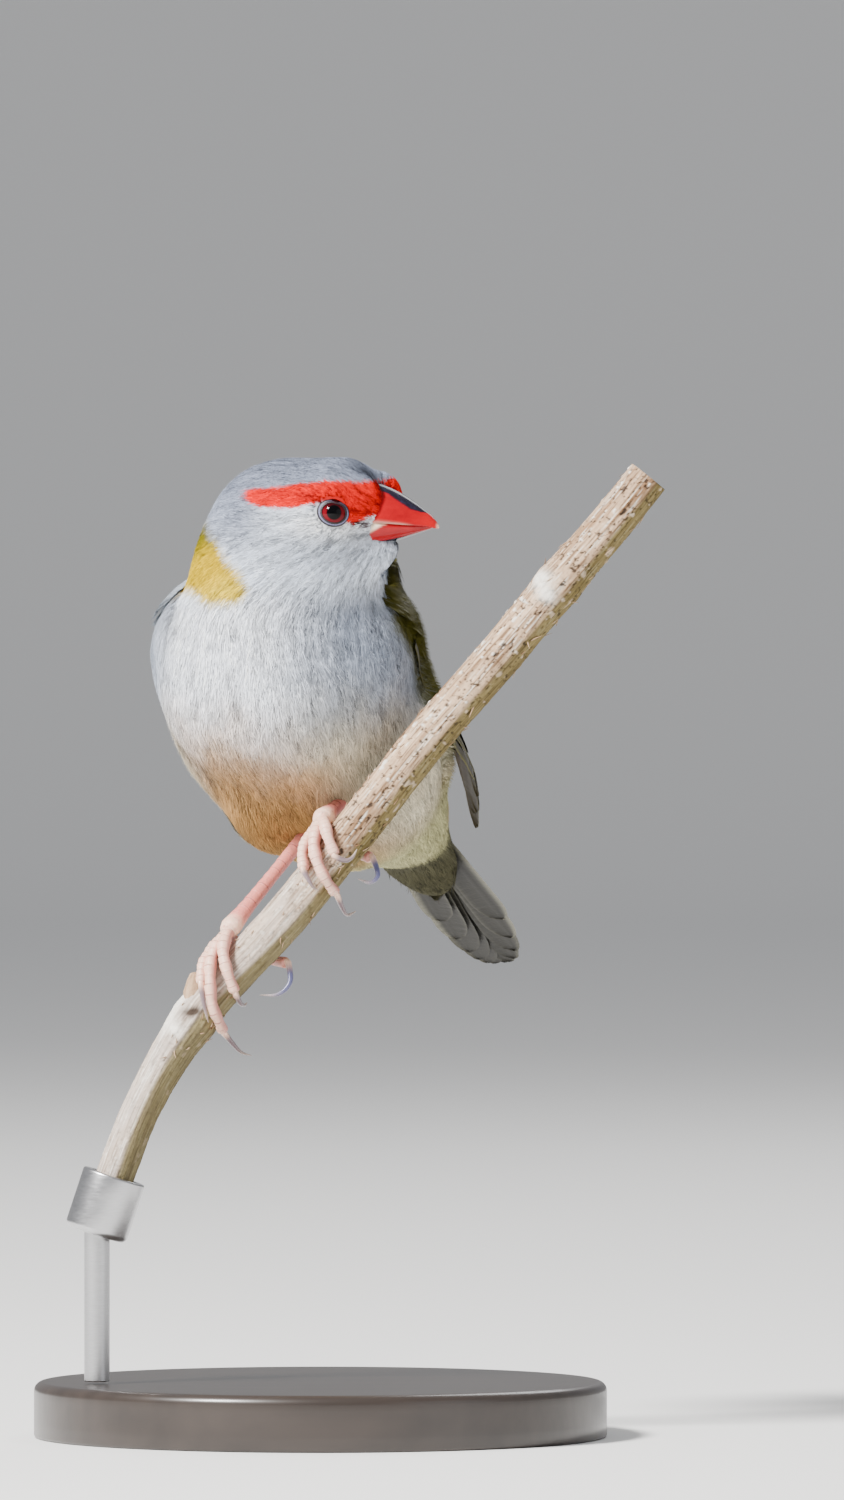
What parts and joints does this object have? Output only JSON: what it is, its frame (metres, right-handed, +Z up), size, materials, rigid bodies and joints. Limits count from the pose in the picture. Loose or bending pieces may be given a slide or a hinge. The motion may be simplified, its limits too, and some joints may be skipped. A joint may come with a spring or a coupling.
{
  "type": "red-browed finch",
  "caption": "Life-size songbird model with its head turned aside, gripping a cut length of dry stem held on a short rod and a round base.",
  "frame": {"origin": "centre of the flat under side of the round base", "axes": "+Z up; +Y away from the viewer of the picture; +X to the viewer's right, the way the bill points"},
  "size_m": [0.0791, 0.0968, 0.1229],
  "materials": {
    "body_feathers": "soft grey body feathers, buff below and olive above",
    "wing_feathers": "smooth olive-brown vanes with paler edges",
    "tail_feathers": "dark brown vanes under red and pale coverts",
    "bill": "smooth red horn with a black ridge",
    "eye": "wet dark red",
    "leg_skin": "pink scaled skin",
    "claw": "blue-grey horn",
    "stem": "dry grey-brown bark, olive on its under side",
    "rod": "satin steel",
    "base": "dark satin lacquer"
  },
  "bodies": {
    "root": {"torso": "body_feathers", "neck": "body_feathers", "head": "body_feathers", "bill_upper": "bill", "bill_lower": "bill", "eye_right": "eye", "eye_left": "eye", "wing_right": "wing_feathers", "wing_left": "wing_feathers", "tail": "tail_feathers", "tarsus_right": "leg_skin", "tarsus_left": "leg_skin", "foot_right": "leg_skin", "foot_left": "leg_skin", "claw_right_1": "claw", "claw_right_2": "claw", "claw_right_3": "claw", "claw_right_4": "claw", "claw_left_1": "claw", "claw_left_2": "claw", "claw_left_3": "claw", "claw_left_4": "claw", "perch": "stem", "stand_rod": "rod", "stand_base": "base"}
  },
  "joints": []
}
